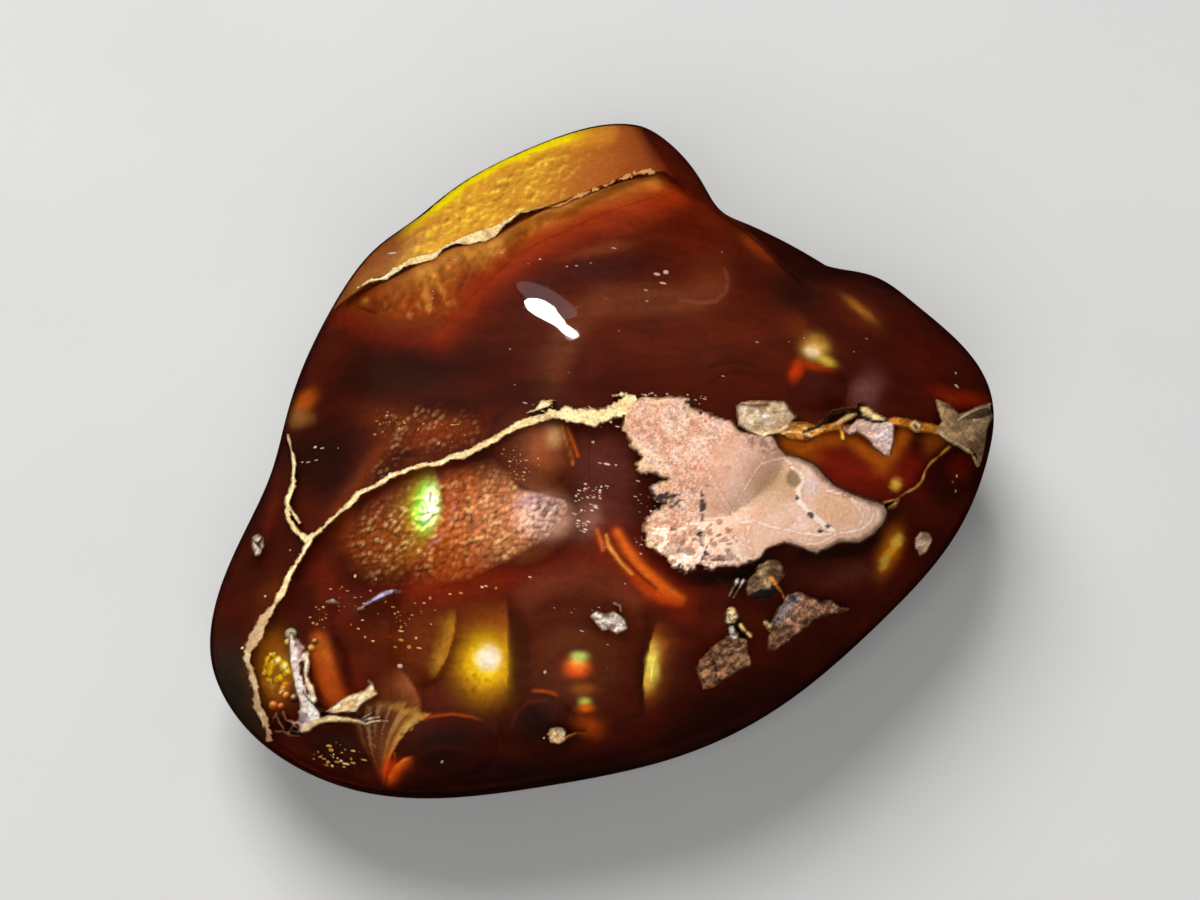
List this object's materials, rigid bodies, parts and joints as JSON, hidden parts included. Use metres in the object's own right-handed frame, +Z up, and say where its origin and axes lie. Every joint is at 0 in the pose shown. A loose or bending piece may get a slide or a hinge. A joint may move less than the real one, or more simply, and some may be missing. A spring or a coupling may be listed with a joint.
{
  "type": "fire agate specimen",
  "caption": "Polished fire agate nodule, a notched clear brown stone over golden and green fire domes, lying on a ground flat.",
  "frame": {"origin": "on the surface the stone lies on, under the middle of its outline's box", "axes": "+Z up from the resting flat, +X towards the stone's right tip, +Y towards its crest beside the notch"},
  "size_m": [0.0372, 0.0396, 0.0118],
  "materials": {
    "fire_agate": "polished"
  },
  "bodies": {
    "root": {"fire_agate": "fire_agate"}
  },
  "joints": []
}
